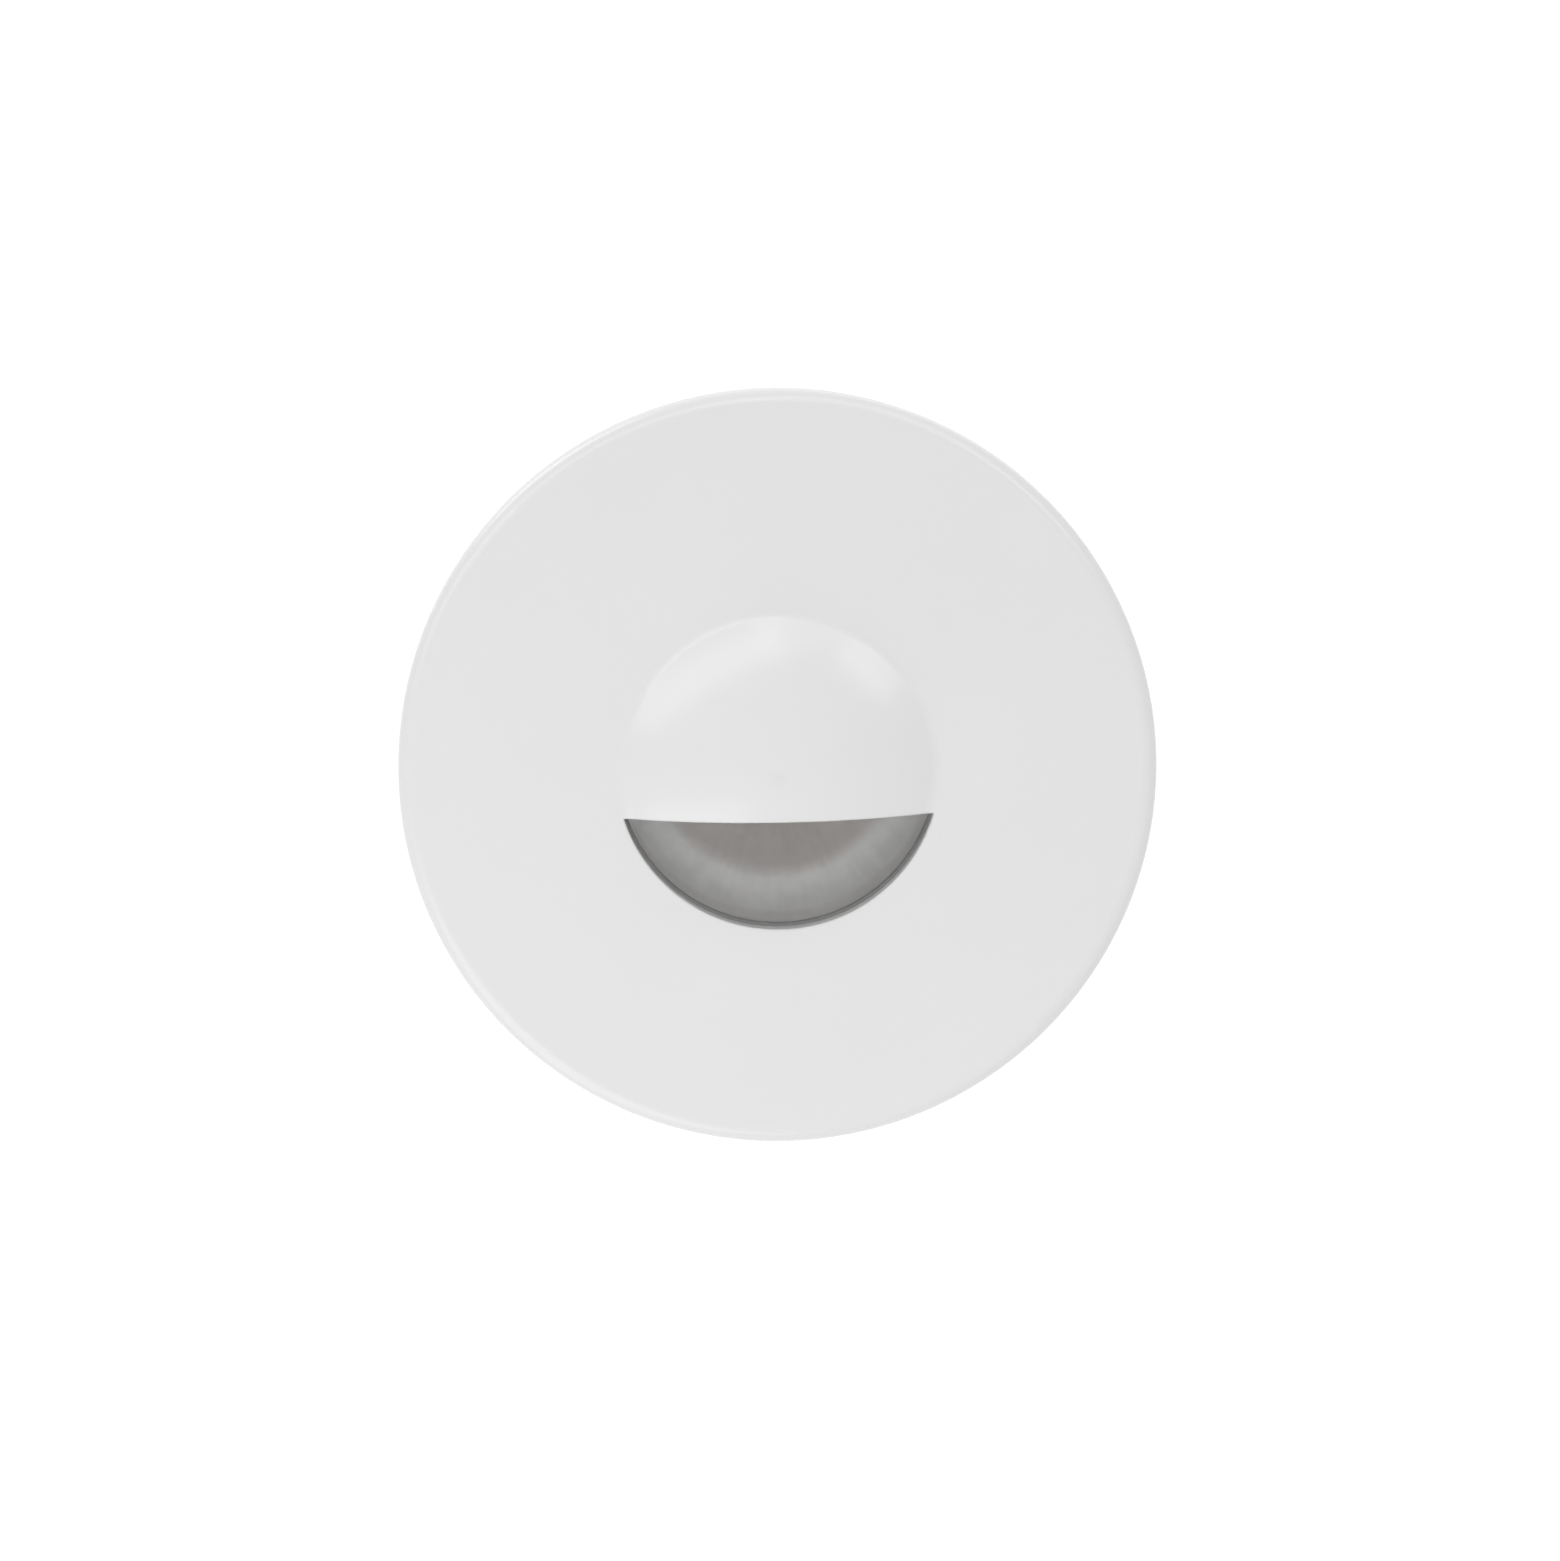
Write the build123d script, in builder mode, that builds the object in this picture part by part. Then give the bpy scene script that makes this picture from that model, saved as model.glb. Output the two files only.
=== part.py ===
from build123d import *
import math
import os

# A round recessed wall light with a hooded window, in millimetres.
# The light faces -Y and +Z is up. The wall's surface is the plane Y = 0, and the origin is the
# centre of the round hole that the light is pushed into. Positive Y lies inside the wall.

# Face plate with its hood and window
plate_diameter = 80.0
plate_projection = 4.0  # wall to the plate's face
wall_overlap = 8.5  # plate beyond the collar, over the wall
plate_web = 2.2
rim_width = 1.8
rim_round = 1.5
window_radius = 17.1
hood_edge_drop = 5.0  # hood's lower edge below the light's centre
hood_height = 5.2
hood_foot_radius = 2.0  # concave curve where the hood runs into the face
hood_wall = 2.0

# Seals, glass and reflector, stacked behind the plate
gasket_squeeze = 0.4  # gap left between the rim and the wall
gasket_room = 1.5  # wall gasket to collar
seat_fit = 0.2  # radial play of a piece that drops into a seat
seal_thickness = 1.2
seal_lip = 0.3  # how far the window seal shows inside the window
glass_thickness = 3.0
glass_overlap = 3.5  # glass beyond the window's edge
glass_chamfer = 0.4
lens_gasket_thickness = 1.2
lens_gasket_lap = 1.3  # how far the lens gasket reaches over the reflector's flange
reflector_metal = 0.6
reflector_flange = 1.9
reflector_flange_metal = 0.8
reflector_outset = 0.8  # bowl's rim beyond the window's edge
throat_room = 2.8  # LED's side to the reflector's throat
reflector_neck = 1.8
cone_depth = 4.1  # reflector's step to its throat
step_ledge = 1.1  # flat of the step
step_width = 4.6  # step's edge to the reflector's throat
step_round = 2.0

# LED stack on the deck
led_side = 11.0
led_thickness = 0.8
phosphor_radius = 4.6
phosphor_thickness = 0.5
phosphor_round = 0.3
led_gap = 0.8  # reflector's neck to the LED's face
led_board_room = 6.2  # LED board to the chamber's wall
led_board_thickness = 1.6
thermal_pad_thickness = 0.4
thermal_pad_inset = 0.5
board_screw_head = 1.9
board_screw_head_height = 1.2
board_screw_shank = 1.0
board_screw_bite = 2.4
board_screw_margin = 0.2  # screw head to the board's edge
lead_diameter = 1.0
lead_spacing = 1.6
lead_bend = 1.5
lead_tail = 0.3  # straight end on the solder pad
lead_pad_inset = 2.2  # solder pads from the LED board's edge
grommet_bore = 1.6
grommet_wall = 0.6
grommet_flange = 0.5
grommet_flange_metal = 0.8
grommet_room = 0.4  # grommet flange to the LED board
deck_thickness = 3.0

# Driver in its insulating tray
driver_board_thickness = 1.6
driver_board_fit = 0.2
driver_board_lift = 2.6  # space for leads under the board
tray_wall = 1.0
tray_ledge = 1.2
driver_height = 8.8  # room for components behind the board
part_edge_room = 0.6  # components to the board's edge
transformer_side = 11.0
transformer_width = 8.0
transformer_height = 8.2
transformer_wing = 1.6  # wall of the ferrite core
winding_room = 0.5
winding_lap = 1.2
input_capacitor_radius = 4.0
input_capacitor_length = 12.0
output_capacitor_radius = 3.15
output_capacitor_height = 7.6
capacitor_room = 5.1  # between the two capacitors
capacitor_round = 0.5
resin_chamfer = 0.4
rectifier_length = 5.0
rectifier_width = 4.0
rectifier_height = 2.5
chip_length = 5.0
chip_width = 4.0
chip_height = 1.6
fuse_radius = 1.6
fuse_length = 8.0
terminal_length = 9.0
terminal_width = 7.0
terminal_height = 8.0
terminal_pitch = 4.4
terminal_entry = 2.4
terminal_entry_depth = 4.0
terminal_screw_radius = 1.5
terminal_screw_sink = 1.0
terminal_screw_length = 3.0

# Housing
can_wall = 2.3
tray_fit = 0.3
collar_depth = 6.0  # collar behind the wall's surface
collar_wall = 1.0
collar_chamfer = 1.0
fin_height = 5.4
fin_thickness = 1.5
fin_slope = 4.0  # sloped back end of a fin
fin_set_back = 1.5  # fins' back end to the can's back face
fin_pitch = 10.0  # degrees
fin_screw_room = 9.5  # degrees kept clear each side of a screw or lug
fin_clip_room = 38.0  # degrees kept clear each side of a clip
land_depth = 0.8  # flats for the clip brackets, cut into the can
land_room = 0.6  # flat beyond the bracket's edge
screw_count = 3

# Screws that hold the plate, from the collar's back
boss_radius = 2.4
boss_length = 3.4
pocket_fit = 0.15
pocket_wall = 0.4  # boss pocket to the can's outside
plate_screw_shank = 1.25
plate_screw_hole = 1.6
plate_screw_head = 2.4
plate_screw_head_height = 1.8
plate_screw_bite = 4.0
plate_screw_angle = 90.0

# Rear cover, its seal and screws
cover_thickness = 2.4
cover_rim = 1.2
cover_plug_depth = 2.0
cover_plug_wall = 1.6
cover_seal_thickness = 0.8
cover_boss_height = 2.0
cover_boss_wall = 3.0
cover_rib_count = 6
cover_rib_thickness = 1.4
lug_radius = 3.0
lug_offset = 2.4  # lug's centre outside the can
lug_length = 10.0
cover_screw_shank = 1.25
cover_screw_hole = 1.6
cover_screw_head = 2.5
cover_screw_head_height = 1.8
cover_screw_bite = 7.0
cover_screw_angle = 30.0
screw_socket = 1.3  # across the corners of a screw's hexagon socket, half
screw_socket_depth = 1.0
small_socket = 1.0
small_socket_depth = 0.6
screw_tip_room = 0.6  # pilot hole beyond a screw's tip

# Cable gland in the cover
gland_thread = 6.0
gland_bore = 4.4
gland_hex = 15.0  # across flats
gland_hex_height = 4.0
gland_washer_thickness = 1.0
gland_stem = 5.4  # threaded stem under the nut
gland_nut_height = 8.6
gland_nut_gap = 0.5
gland_nut_wall = 1.2
gland_seal_bore = 3.2
gland_seal_length = 6.0
gland_nut_lip = 0.6  # nut's hole beyond the bush's bore
gland_fit = 0.1

# Spring clips that grip the back of the wall panel
clip_set_back = 14.0  # clip's pin behind the collar
clip_clear = 0.3
clip_rest_angle = 48.0  # arm at rest, forward of square to the light's axis
bracket_metal = 0.8
bracket_ear_radius = 2.0
bracket_ear_foot = 3.2
bracket_tail = 5.0  # bracket's base behind the pin
bracket_screw_head = 1.9
bracket_screw_head_height = 1.2
bracket_screw_shank = 0.95
bracket_screw_bite = 3.2
bracket_screw_near = 5.8  # first screw from the pin
bracket_screw_step = 4.4
bracket_screw_edge = 2.4
pin_radius = 1.0
pin_head_radius = 1.6
pin_head_height = 0.7
pin_play = 0.05
arm_metal = 0.8
arm_width = 8.2
arm_knee = 4.5  # end of the channel that holds the coil
arm_joggle_run = 4.0
arm_foot_level = 0.4  # outer blade above the pin's centre line
arm_reach = 13.0
arm_tip_run = 1.6
arm_tip_drop = 1.8
arm_bend = 1.0
arm_cheek_radius = 1.9
arm_heel_clear = 0.4
spring_wire = 0.7
spring_turns = 4
spring_pitch = 1.2
spring_leg = 4.0
spring_samples = 240

# Places that follow from the sizes above
plate_radius = plate_diameter / 2
face_y = -plate_projection
web_back = face_y + plate_web
rim_back = -gasket_squeeze
glass_front = web_back + seal_thickness
glass_back = glass_front + glass_thickness
gasket_seat = glass_back + lens_gasket_thickness
reflector_seat = gasket_seat + reflector_flange_metal
glass_radius = window_radius + glass_overlap
mouth_radius = glass_radius + seat_fit
bowl_radius = window_radius + reflector_outset
throat_radius = led_side / 2 + throat_room
reflector_depth = bowl_radius - throat_radius
step_depth = reflector_depth - cone_depth
step_radius = throat_radius + step_width
ledge_radius = step_radius + step_ledge
step_y = reflector_seat + step_depth
flange_radius = bowl_radius + reflector_flange
recess_radius = flange_radius + seat_fit
chamber_radius = bowl_radius + reflector_metal + seat_fit
led_board_radius = chamber_radius - led_board_room
bowl_back = reflector_seat + reflector_depth
neck_back = bowl_back + reflector_neck
led_face = neck_back + led_gap
board_face = led_face + led_thickness
pad_face = board_face + led_board_thickness
deck_front = pad_face + thermal_pad_thickness
deck_back = deck_front + deck_thickness
pocket_radius = boss_radius + pocket_fit
collar_radius = plate_radius - wall_overlap
plate_screw_circle = collar_radius - collar_wall - pocket_radius
can_radius = plate_screw_circle - pocket_radius - pocket_wall
rear_bore = can_radius - can_wall
tray_outer = rear_bore - tray_fit
tray_inner = tray_outer - tray_wall
driver_board_radius = tray_inner - driver_board_fit
tray_floor = deck_back + tray_wall
driver_front = tray_floor + driver_board_lift
driver_back = driver_front + driver_board_thickness
plug_front = driver_back + driver_height
can_back = plug_front + cover_plug_depth
collar_back = collar_depth
fin_tip = can_radius + fin_height
lug_circle = can_radius + lug_offset
cover_back = can_back + cover_seal_thickness + cover_thickness
cover_radius = can_radius + cover_rim
gland_seat = cover_back + cover_boss_height
grommet_radius = grommet_bore + grommet_wall
grommet_rim = grommet_radius + grommet_flange
grommet_z = -(led_board_radius + grommet_room + grommet_rim)


def station(y):
    """Plane square to the light's axis at depth y. Its x is X, its y is Z, and a negative
    extrusion goes into the wall."""
    return Plane.XZ.offset(-y)


def half_plane(angle):
    """Plane through the light's axis, with its x pointing outwards at an angle from +X to +Z."""
    turn = math.radians(angle)
    return Plane(
        origin=(0, 0, 0),
        x_dir=(math.cos(turn), 0, math.sin(turn)),
        z_dir=(-math.sin(turn), 0, math.cos(turn)),
    )


def ring(inner_radius, outer_radius, front, thickness):
    """Flat ring or disc on the light's axis."""
    with BuildPart() as piece:
        with BuildSketch(station(front)):
            Circle(outer_radius)
            if inner_radius > 0:
                Circle(inner_radius, mode=Mode.SUBTRACT)
        extrude(amount=-thickness)
    return piece.part


# Face plate: a turned plate whose hood is a cap that runs into a concave foot, hollow behind, with
# the part of the hood below its straight edge cut away to make the window.
curve_sum = (window_radius**2 + hood_height**2) / (2 * hood_height)  # cap radius plus foot radius
cap_radius = curve_sum - hood_foot_radius
cap_centre = face_y - hood_height + cap_radius
cavity_radius = math.sqrt((cap_radius - hood_wall) ** 2 - (cap_centre - web_back) ** 2)

with BuildPart() as front_plate:
    with BuildSketch(Plane.XY):
        with BuildLine():
            apex = (0, face_y - hood_height)
            foot = (window_radius, face_y)
            turn_radius = window_radius * cap_radius / curve_sum
            turn = (turn_radius, face_y - hood_foot_radius * hood_height / curve_sum)
            rim_start = (plate_radius - rim_round, face_y)
            rim_end = (plate_radius, face_y + rim_round)
            TangentArc(apex, turn, tangent=(1, 0))
            TangentArc(foot, turn, tangent=(-1, 0))
            Line(foot, rim_start)
            TangentArc(rim_start, rim_end, tangent=(1, 0))
            Polyline(
                rim_end,
                (plate_radius, rim_back),
                (plate_radius - rim_width, rim_back),
                (plate_radius - rim_width, web_back),
                (0, web_back),
                apex,
            )
        make_face()
    revolve(axis=Axis.Y)
    with BuildSketch(Plane.XY):
        with BuildLine():
            crown = (0, face_y - hood_height + hood_wall)
            mouth = (cavity_radius, web_back)
            TangentArc(crown, mouth, tangent=(1, 0))
            Polyline(mouth, (0, web_back), crown)
        make_face()
    revolve(axis=Axis.Y, mode=Mode.SUBTRACT)
    with BuildSketch(station(web_back)):
        Circle(window_radius)
        with Locations((0, -hood_edge_drop)):
            Rectangle(
                2 * window_radius,
                2 * window_radius,
                align=(Align.CENTER, Align.MAX),
                mode=Mode.INTERSECT,
            )
    extrude(amount=plate_web + hood_height, mode=Mode.SUBTRACT)
    with BuildSketch(station(web_back)):
        with PolarLocations(plate_screw_circle, screw_count, start_angle=plate_screw_angle):
            Circle(boss_radius)
    extrude(amount=-boss_length)
    with BuildSketch(station(web_back + boss_length)):
        with PolarLocations(plate_screw_circle, screw_count, start_angle=plate_screw_angle):
            Circle(plate_screw_shank)
    extrude(amount=plate_screw_bite + screw_tip_room, mode=Mode.SUBTRACT)

# Foam ring that the plate squeezes against the wall
with BuildPart() as wall_gasket:
    add(ring(collar_radius + gasket_room, plate_radius - rim_width - seat_fit, web_back, -web_back))

# Silicone rings before and behind the glass
with BuildPart() as window_seal:
    add(ring(window_radius - seal_lip, glass_radius, web_back, seal_thickness))

with BuildPart() as lens_gasket:
    add(ring(flange_radius - lens_gasket_lap, glass_radius, glass_back, lens_gasket_thickness))

# Toughened glass disc with ground edges
with BuildPart() as glass_lens:
    add(ring(0, glass_radius, glass_front, glass_thickness))
    chamfer(glass_lens.edges(), length=glass_chamfer)

# Turned aluminium bowl: a curved wall from the rim's flange to a rounded step, then a cone to a short
# neck round the LED; its back is a plain quarter circle
with BuildPart() as reflector:
    with BuildSketch(Plane.XY):
        with BuildLine():
            inner_rim = (bowl_radius, reflector_seat)
            inner_throat = (throat_radius, bowl_back)
            outer_rim = (bowl_radius + reflector_metal, reflector_seat)
            neck_outer = throat_radius + reflector_metal
            neck_start = reflector_seat + math.sqrt(
                (reflector_depth + reflector_metal) ** 2 - reflector_metal**2
            )
            EllipticalCenterArc(
                (ledge_radius, reflector_seat),
                x_radius=bowl_radius - ledge_radius,
                y_radius=step_depth,
                start_angle=0,
                arc_size=90,
            )
            FilletPolyline(
                (ledge_radius, step_y),
                (step_radius, step_y),
                inner_throat,
                radius=step_round,
            )
            Polyline(
                inner_throat,
                (throat_radius, neck_back),
                (neck_outer, neck_back),
                (neck_outer, neck_start),
            )
            TangentArc(outer_rim, (neck_outer, neck_start), tangent=(0, 1))
            Polyline(
                outer_rim,
                (flange_radius, reflector_seat),
                (flange_radius, gasket_seat),
                (bowl_radius, gasket_seat),
                inner_rim,
            )
        make_face()
    revolve(axis=Axis.Y)

# Die-cast housing: collar, can, LED deck, cooling fins, lugs for the cover and flats for the clips
screw_angles = [plate_screw_angle + 360 * i / screw_count for i in range(screw_count)]
lug_angles = [cover_screw_angle + 360 * i / screw_count for i in range(screw_count)]
clip_angles = [0, 180]


def apart(angle, others, room):
    """Whether an angle in degrees keeps a given room from each of the others."""
    return all(abs((angle - other + 180) % 360 - 180) >= room for other in others)


fin_angles = [
    fin_pitch * i
    for i in range(int(360 / fin_pitch))
    if apart(fin_pitch * i, screw_angles + lug_angles, fin_screw_room)
    and apart(fin_pitch * i, clip_angles, fin_clip_room)
]
land_x = can_radius - land_depth
bracket_half = arm_width / 2 + clip_clear + bracket_metal
pivot_y = collar_back + clip_set_back
board_screw_circle = led_board_radius - board_screw_head - board_screw_margin
bracket_screw_ys = [pivot_y - bracket_screw_near - bracket_screw_step * i for i in range(2)]

with BuildPart() as housing:
    with BuildSketch(Plane.XY):
        with BuildLine():
            Polyline(
                (mouth_radius, web_back),
                (collar_radius, web_back),
                (collar_radius, collar_back - collar_chamfer),
                (collar_radius - collar_chamfer, collar_back),
                (can_radius, collar_back),
                (can_radius, can_back),
                (rear_bore, can_back),
                (rear_bore, deck_back),
                (0, deck_back),
                (0, deck_front),
                (chamber_radius, deck_front),
                (chamber_radius, reflector_seat),
                (recess_radius, reflector_seat),
                (recess_radius, gasket_seat),
                (mouth_radius, gasket_seat),
                close=True,
            )
        make_face()
    revolve(axis=Axis.Y)
    for angle in fin_angles:
        fin_root = can_radius - can_wall / 2
        fin_end = can_back - fin_set_back
        with BuildSketch(half_plane(angle)):
            with BuildLine():
                Polyline(
                    (fin_root, collar_back),
                    (fin_tip, collar_back),
                    (fin_tip, fin_end - fin_slope),
                    (can_radius, fin_end),
                    (fin_root, fin_end),
                    close=True,
                )
            make_face()
        extrude(amount=fin_thickness / 2, both=True)
    with BuildSketch(station(can_back)):
        with PolarLocations(lug_circle, screw_count, start_angle=cover_screw_angle):
            Circle(lug_radius)
    extrude(amount=lug_length)
    with BuildSketch(station(can_back)):
        Circle(rear_bore)
    extrude(amount=can_back - deck_back, mode=Mode.SUBTRACT)
    with BuildSketch(station(can_back)):
        with PolarLocations(lug_circle, screw_count, start_angle=cover_screw_angle):
            Circle(cover_screw_shank)
    extrude(amount=cover_screw_bite + screw_tip_room, mode=Mode.SUBTRACT)
    with BuildSketch(station(web_back)):
        with PolarLocations(plate_screw_circle, screw_count, start_angle=plate_screw_angle):
            Circle(pocket_radius)
    extrude(amount=-(boss_length + pocket_fit), mode=Mode.SUBTRACT)
    with BuildSketch(station(collar_back)):
        with PolarLocations(plate_screw_circle, screw_count, start_angle=plate_screw_angle):
            Circle(plate_screw_hole)
    extrude(amount=collar_back - web_back, mode=Mode.SUBTRACT)
    with BuildSketch(station(deck_front)):
        with PolarLocations(board_screw_circle, 2):
            Circle(board_screw_shank)
    extrude(amount=-(board_screw_bite + pocket_fit), mode=Mode.SUBTRACT)
    with BuildSketch(station(deck_front)):
        with Locations((0, grommet_z)):
            Circle(grommet_radius)
    extrude(amount=-deck_thickness, mode=Mode.SUBTRACT)
    for side in (1, -1):
        with BuildSketch(station(collar_back)):
            with Locations((side * (land_x + land_depth / 2), 0)):
                Rectangle(land_depth, 2 * (bracket_half + land_room))
        extrude(amount=-(can_back - collar_back), mode=Mode.SUBTRACT)
        with BuildSketch(Plane.YZ.offset(side * land_x)):
            with Locations(*[(y, 0) for y in bracket_screw_ys]):
                Circle(bracket_screw_shank)
        extrude(amount=-side * (bracket_screw_bite + screw_tip_room), mode=Mode.SUBTRACT)


def socket_screws(angles, circle, seat, head, shank, reach, forward, socket):
    """Cap screws parallel to the light's axis, their heads on a seat at depth seat. head and socket
    are a radius and a length. forward is 1 where the screws point to the front of the light and
    -1 where they point to its back."""
    with BuildPart() as screws:
        with BuildSketch(station(seat)):
            for angle in angles:
                with PolarLocations(circle, 1, start_angle=angle):
                    Circle(head[0])
        extrude(amount=-forward * head[1])
        with BuildSketch(station(seat)):
            for angle in angles:
                with PolarLocations(circle, 1, start_angle=angle):
                    Circle(shank)
        extrude(amount=forward * reach)
        with BuildSketch(station(seat + forward * head[1])):
            for angle in angles:
                with PolarLocations(circle, 1, start_angle=angle):
                    RegularPolygon(socket[0], 6)
        extrude(amount=forward * socket[1], mode=Mode.SUBTRACT)
    return screws.part


# Three screws from the collar's back into the plate's bosses
with BuildPart() as plate_screws:
    add(
        socket_screws(
            screw_angles,
            plate_screw_circle,
            collar_back,
            head=(plate_screw_head, plate_screw_head_height),
            shank=plate_screw_shank,
            reach=collar_back - web_back - boss_length + plate_screw_bite,
            forward=1,
            socket=(screw_socket, screw_socket_depth),
        )
    )

# LED on its metal-core board, with a heat-conducting pad under it
with BuildPart() as led_emitter:
    with BuildSketch(station(led_face)):
        Rectangle(led_side, led_side)
    extrude(amount=-led_thickness)

with BuildPart() as led_phosphor:
    add(ring(0, phosphor_radius, led_face - phosphor_thickness, phosphor_thickness))
    fillet(led_phosphor.edges().sort_by(Axis.Y)[0], radius=phosphor_round)

with BuildPart() as led_board:
    with BuildSketch(station(board_face)):
        Circle(led_board_radius)
        with PolarLocations(board_screw_circle, 2):
            Circle(board_screw_shank + seat_fit, mode=Mode.SUBTRACT)
    extrude(amount=-led_board_thickness)

with BuildPart() as thermal_pad:
    with BuildSketch(station(pad_face)):
        Circle(led_board_radius - thermal_pad_inset)
        with PolarLocations(board_screw_circle, 2):
            Circle(board_screw_shank + seat_fit, mode=Mode.SUBTRACT)
    extrude(amount=-thermal_pad_thickness)

with BuildPart() as led_board_screws:
    add(
        socket_screws(
            clip_angles,
            board_screw_circle,
            board_face,
            head=(board_screw_head, board_screw_head_height),
            shank=board_screw_shank,
            reach=deck_front - board_face + board_screw_bite,
            forward=-1,
            socket=(small_socket, small_socket_depth),
        )
    )

# Rubber grommet in the deck, and the two leads that pass through it from the driver to the LED
with BuildPart() as lead_grommet:
    with BuildSketch(Plane.YZ):
        with BuildLine():
            flange_front = deck_front - grommet_flange_metal
            flange_back = deck_back + grommet_flange_metal
            Polyline(
                (flange_front, grommet_z + grommet_bore),
                (flange_front, grommet_z + grommet_rim),
                (deck_front, grommet_z + grommet_rim),
                (deck_front, grommet_z + grommet_radius),
                (deck_back, grommet_z + grommet_radius),
                (deck_back, grommet_z + grommet_rim),
                (flange_back, grommet_z + grommet_rim),
                (flange_back, grommet_z + grommet_bore),
                close=True,
            )
        make_face()
    revolve(axis=Axis((0, 0, grommet_z), (0, 1, 0)))

lead_pad_z = -(led_board_radius - lead_pad_inset)
lead_crest = board_face - lead_bend - lead_tail


def lead(x):
    """Insulated lead from the driver board, forward through the grommet and over to its pad."""
    with BuildPart() as wire:
        with BuildLine() as route:
            FilletPolyline(
                (x, driver_front, grommet_z),
                (x, lead_crest, grommet_z),
                (x, lead_crest, lead_pad_z),
                (x, board_face, lead_pad_z),
                radius=lead_bend,
            )
        with BuildSketch(Plane(origin=route.line @ 0, z_dir=route.line % 0)):
            Circle(lead_diameter / 2)
        sweep(path=route.line)
    return wire.part


with BuildPart() as led_lead_positive:
    add(lead(-lead_spacing / 2))

with BuildPart() as led_lead_negative:
    add(lead(lead_spacing / 2))

# Insulating tray for the driver, with a ledge that carries the round board
with BuildPart() as driver_tray:
    with BuildSketch(Plane.XY):
        with BuildLine():
            Polyline(
                (0, deck_back),
                (tray_outer, deck_back),
                (tray_outer, plug_front),
                (tray_inner, plug_front),
                (tray_inner, driver_front),
                (tray_inner - tray_ledge, driver_front),
                (tray_inner - tray_ledge, tray_floor),
                (0, tray_floor),
                close=True,
            )
        make_face()
    revolve(axis=Axis.Y)
    with BuildSketch(station(deck_back)):
        with Locations((0, grommet_z)):
            Circle(grommet_rim + seat_fit)
    extrude(amount=-tray_wall, mode=Mode.SUBTRACT)

with BuildPart() as driver_board:
    add(ring(0, driver_board_radius, driver_front, driver_board_thickness))

# Components behind the driver board. Each stands as far out along its own direction as the round
# board allows, so the layout follows the board's size.
part_limit = driver_board_radius - part_edge_room


def outward(half_length, half_width, offset):
    """Distance from the board's centre to a part's middle, along Z, when its outer corners reach
    the limit of the board and it stands aside in X by offset."""
    return math.sqrt(part_limit**2 - (abs(offset) + half_length) ** 2) - half_width


terminal_z = -outward(terminal_length / 2, terminal_width / 2, 0)
capacitor_x = input_capacitor_length / 2 + part_edge_room
capacitor_z = outward(input_capacitor_length / 2, input_capacitor_radius, capacitor_x)
transformer_x = -transformer_side / 2 - part_edge_room
transformer_z = outward(transformer_side / 2, transformer_width / 2, transformer_x)
output_z = capacitor_z - input_capacitor_radius - capacitor_room - output_capacitor_radius
output_reach = part_limit - output_capacitor_radius - part_edge_room
output_x = math.sqrt(output_reach**2 - output_z**2)
fuse_z = (terminal_z + terminal_width / 2 + transformer_z - transformer_width / 2) / 2
fuse_x = -fuse_length / 2 - rectifier_length / 2
rectifier_x = -part_limit + rectifier_width

with BuildPart() as transformer_core:
    with BuildSketch(station(driver_back)):
        with Locations((transformer_x, transformer_z)):
            Rectangle(transformer_side, transformer_width)
    extrude(amount=-transformer_height)
    with BuildSketch(station(driver_back)):
        with Locations((transformer_x, transformer_z)):
            Rectangle(transformer_side - 2 * transformer_wing, transformer_width)
    extrude(amount=-(transformer_height - transformer_wing), mode=Mode.SUBTRACT)

with BuildPart() as transformer_winding:
    winding_length = transformer_side - 2 * transformer_wing - 2 * winding_room
    with BuildSketch(station(driver_back)):
        with Locations((transformer_x, transformer_z)):
            RectangleRounded(winding_length, transformer_width + 2 * winding_lap, winding_lap)
    extrude(amount=-(transformer_height - transformer_wing - winding_room))

with BuildPart() as input_capacitor:
    with BuildSketch(Plane.YZ.offset(capacitor_x - input_capacitor_length / 2)):
        with Locations((driver_back + input_capacitor_radius, capacitor_z)):
            Circle(input_capacitor_radius)
    extrude(amount=input_capacitor_length)
    fillet(input_capacitor.edges().filter_by(GeomType.CIRCLE), radius=capacitor_round)

with BuildPart() as output_capacitor:
    with BuildSketch(station(driver_back)):
        with Locations((output_x, output_z)):
            Circle(output_capacitor_radius)
    extrude(amount=-output_capacitor_height)
    fillet(output_capacitor.edges().sort_by(Axis.Y)[-1], radius=capacitor_round)

with BuildPart() as bridge_rectifier:
    with BuildSketch(station(driver_back)):
        with Locations((rectifier_x, fuse_z)):
            Rectangle(rectifier_width, rectifier_length)
    extrude(amount=-rectifier_height)
    chamfer(bridge_rectifier.faces().sort_by(Axis.Y)[-1].edges(), length=resin_chamfer)

with BuildPart() as driver_chip:
    with BuildSketch(station(driver_back)):
        with Locations((output_x - output_capacitor_radius - chip_length, 0)):
            Rectangle(chip_length, chip_width)
    extrude(amount=-chip_height)
    chamfer(driver_chip.faces().sort_by(Axis.Y)[-1].edges(), length=resin_chamfer)

with BuildPart() as fuse_resistor:
    with BuildSketch(Plane.YZ.offset(fuse_x - fuse_length / 2 + rectifier_length / 2)):
        with Locations((driver_back + fuse_radius, fuse_z)):
            Circle(fuse_radius)
    extrude(amount=fuse_length)
    fillet(fuse_resistor.edges().filter_by(GeomType.CIRCLE), radius=capacitor_round)

# Two-pole terminal block, with its wire entries towards the board's centre
terminal_xs = [-terminal_pitch / 2, terminal_pitch / 2]

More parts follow.
